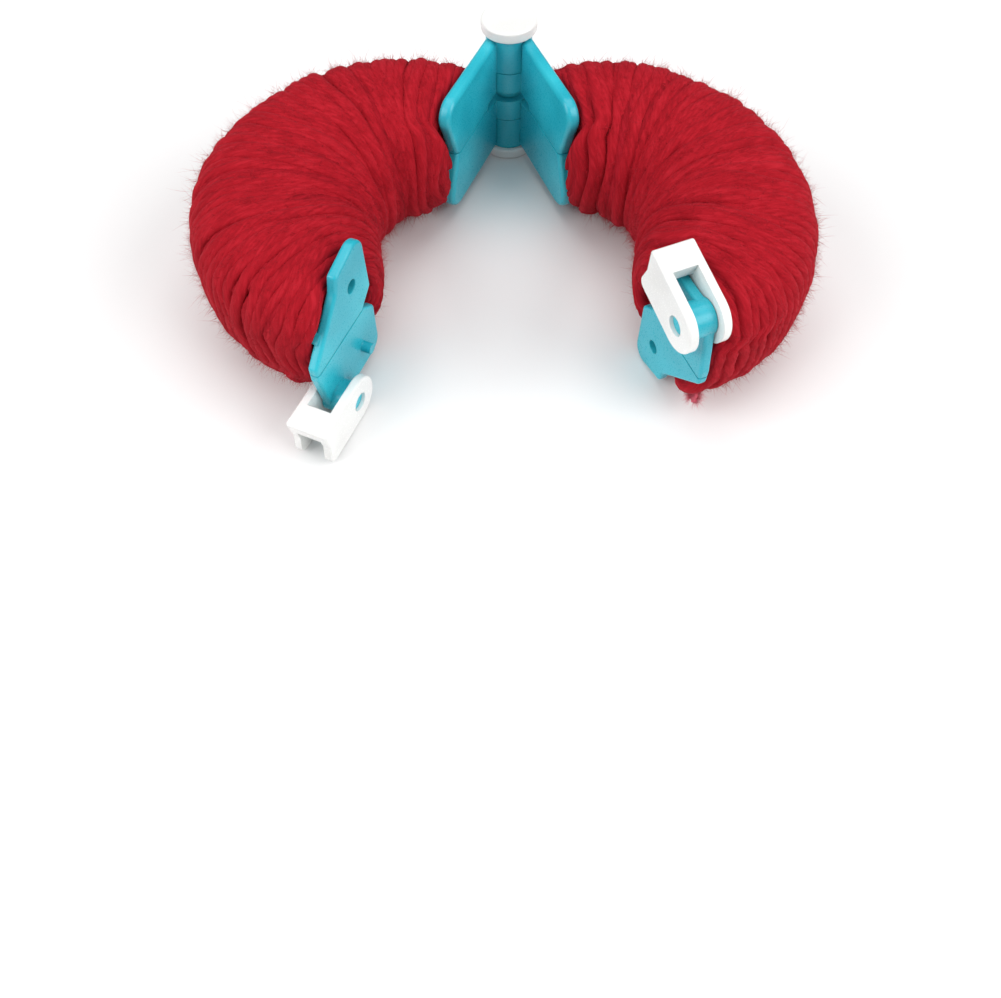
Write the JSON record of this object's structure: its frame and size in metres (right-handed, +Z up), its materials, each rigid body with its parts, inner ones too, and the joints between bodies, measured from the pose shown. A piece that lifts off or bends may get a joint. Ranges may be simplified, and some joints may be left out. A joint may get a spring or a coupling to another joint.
{
  "type": "pom pom maker",
  "caption": "Hinged ring pom pom maker with its arms swung open and yarn wound round them; latch clips hold the rings shut",
  "frame": {"origin": "centre of the bounding box at its lowest level", "axes": "+X across the opened arms, +Y from the free ends towards the hinge, +Z up along the hinge pin"},
  "size_m": [0.119, 0.0948, 0.0362],
  "materials": {
    "teal_plastic": "gloss",
    "white_plastic": "gloss",
    "red_yarn": "matte"
  },
  "bodies": {
    "hinge_core": {"upper_hinge_pin": "teal_plastic", "lower_hinge_pin": "teal_plastic", "upper_hinge_cap": "white_plastic", "lower_hinge_cap": "white_plastic"},
    "upper_left": {"upper_left_arm": "teal_plastic", "left_yarn_winding": "red_yarn"},
    "lower_left": {"lower_left_arm": "teal_plastic"},
    "upper_right": {"upper_right_arm": "teal_plastic", "right_yarn_winding": "red_yarn"},
    "lower_right": {"lower_right_arm": "teal_plastic"},
    "upper_clip": {"upper_latch_clip": "white_plastic"},
    "lower_clip": {"lower_latch_clip": "white_plastic"}
  },
  "joints": [
    {"name": "upper_left_swing", "type": "hinge", "parent": "hinge_core", "child": "upper_left", "pos_m": [0.00129, 0.04136, 0.0168], "axis": [0, 0, 1], "range_deg": [-67.6, 22.4]},
    {"name": "lower_left_swing", "type": "hinge", "parent": "hinge_core", "child": "lower_left", "pos_m": [0.00129, 0.04136, 0.0168], "axis": [0, 0, 1], "range_deg": [-67.6, 22.4]},
    {"name": "upper_right_swing", "type": "hinge", "parent": "hinge_core", "child": "upper_right", "pos_m": [0.00129, 0.04136, 0.0168], "axis": [0, 0, 1], "range_deg": [-22.4, 67.6]},
    {"name": "lower_right_swing", "type": "hinge", "parent": "hinge_core", "child": "lower_right", "pos_m": [0.00129, 0.04136, 0.0168], "axis": [0, 0, 1], "range_deg": [-22.4, 67.6]},
    {"name": "upper_clip_turn", "type": "hinge", "parent": "upper_right", "child": "upper_clip", "pos_m": [0.03265, -0.03473, 0.0285], "axis": [0.9245, 0.3811, 0], "range_deg": [0, 168]},
    {"name": "lower_clip_turn", "type": "hinge", "parent": "lower_left", "child": "lower_clip", "pos_m": [-0.03007, -0.03473, 0.0051], "axis": [-0.9245, 0.3811, 0], "range_deg": [-168, 0]}
  ],
  "couplings": [
    {"joint": "lower_left_swing", "follows": "upper_left_swing", "ratio": 1},
    {"joint": "lower_right_swing", "follows": "upper_right_swing", "ratio": 1}
  ]
}
